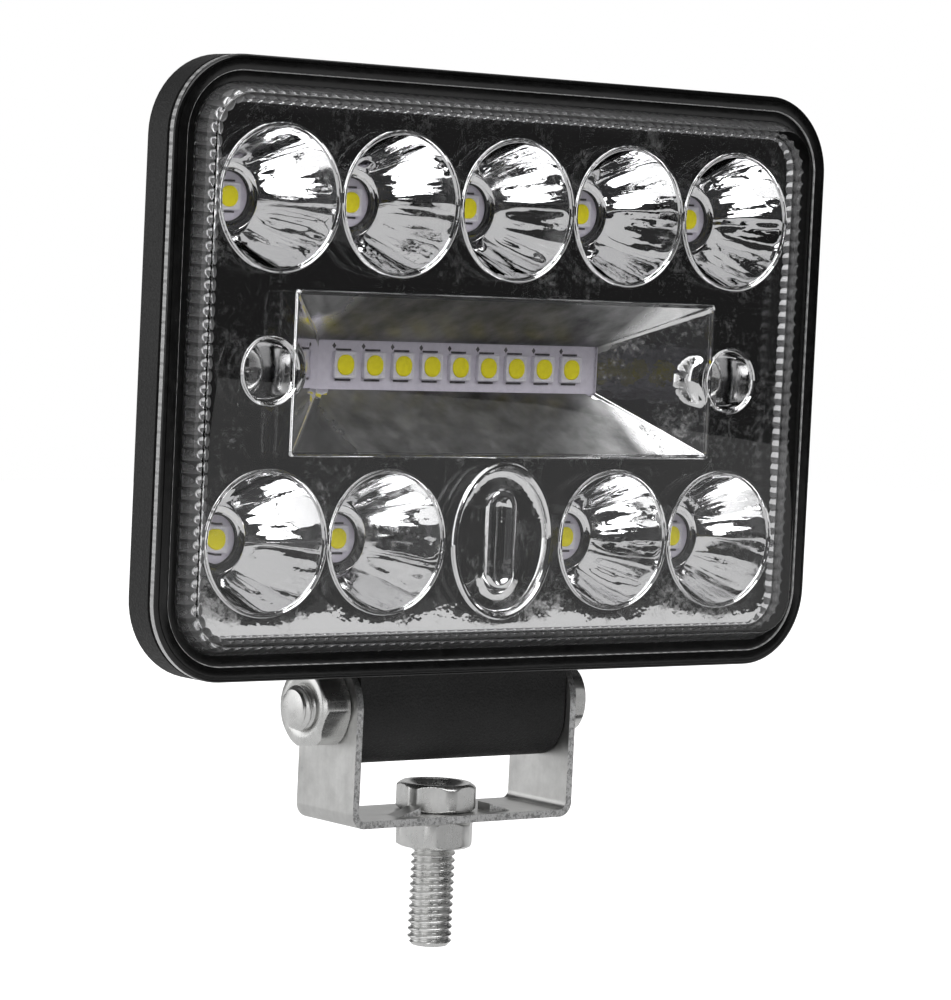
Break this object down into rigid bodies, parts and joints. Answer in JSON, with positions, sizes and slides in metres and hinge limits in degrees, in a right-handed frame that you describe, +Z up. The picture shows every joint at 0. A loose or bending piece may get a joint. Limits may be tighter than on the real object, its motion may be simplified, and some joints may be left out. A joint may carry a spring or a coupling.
{
  "type": "fog light",
  "caption": "Square LED fog and work light on a U-shaped bracket that tilts, with a threaded mounting stud.",
  "frame": {"origin": "on the axis of the mounting stud, at the lower face of its nut, where the vehicle's panel seats", "axes": "+Z up along the stud towards the lamp head, -Y the way the light shines, X along the tilt axis"},
  "size_m": [0.11, 0.0285, 0.1174],
  "materials": {
    "bezel_black": "gloss black moulded plastic",
    "housing_black": "fine matte black textured powder coat on cast aluminium",
    "lens_clear": "clear polished",
    "seal_rubber": "matte",
    "reflector_chrome": "vacuum metallised, mirror bright",
    "board_white": "satin white solder mask",
    "led_white": "satin",
    "phosphor_yellow": "satin silicone",
    "pad_grey": "matte silicone",
    "chip_black": "matte epoxy",
    "coil_grey": "matte ferrite",
    "capacitor_tan": "satin",
    "resistor_black": "satin",
    "screw_steel": "bright zinc",
    "bracket_steel": "satin zinc plate, rough sheared edges",
    "bolt_steel": "bright zinc plate",
    "grommet_rubber": "matte"
  },
  "bodies": {
    "bracket_group": {"bracket": "bracket_steel", "mounting_bolt": "bolt_steel", "mounting_nut": "bolt_steel", "pivot_bolt": "bolt_steel", "pivot_nut": "bolt_steel"},
    "lamp_head": {"rear_housing": "housing_black", "bezel": "bezel_black", "lens": "lens_clear", "lens_gasket": "seal_rubber", "reflector": "reflector_chrome", "led_board": "board_white", "thermal_pad": "pad_grey", "spot_led_packages": "led_white", "spot_led_phosphors": "phosphor_yellow", "strip_led_packages": "led_white", "strip_led_phosphors": "phosphor_yellow", "driver_chip": "chip_black", "power_inductor": "coil_grey", "smd_capacitors": "capacitor_tan", "smd_resistors": "resistor_black", "protection_diode": "chip_black", "reflector_screws": "screw_steel", "cable_grommet": "grommet_rubber"}
  },
  "joints": [
    {"name": "tilt", "type": "hinge", "parent": "bracket_group", "child": "lamp_head", "pos_m": [0, 0, 0.0195], "axis": [1, 0, 0], "range_deg": [-80, 75]}
  ]
}
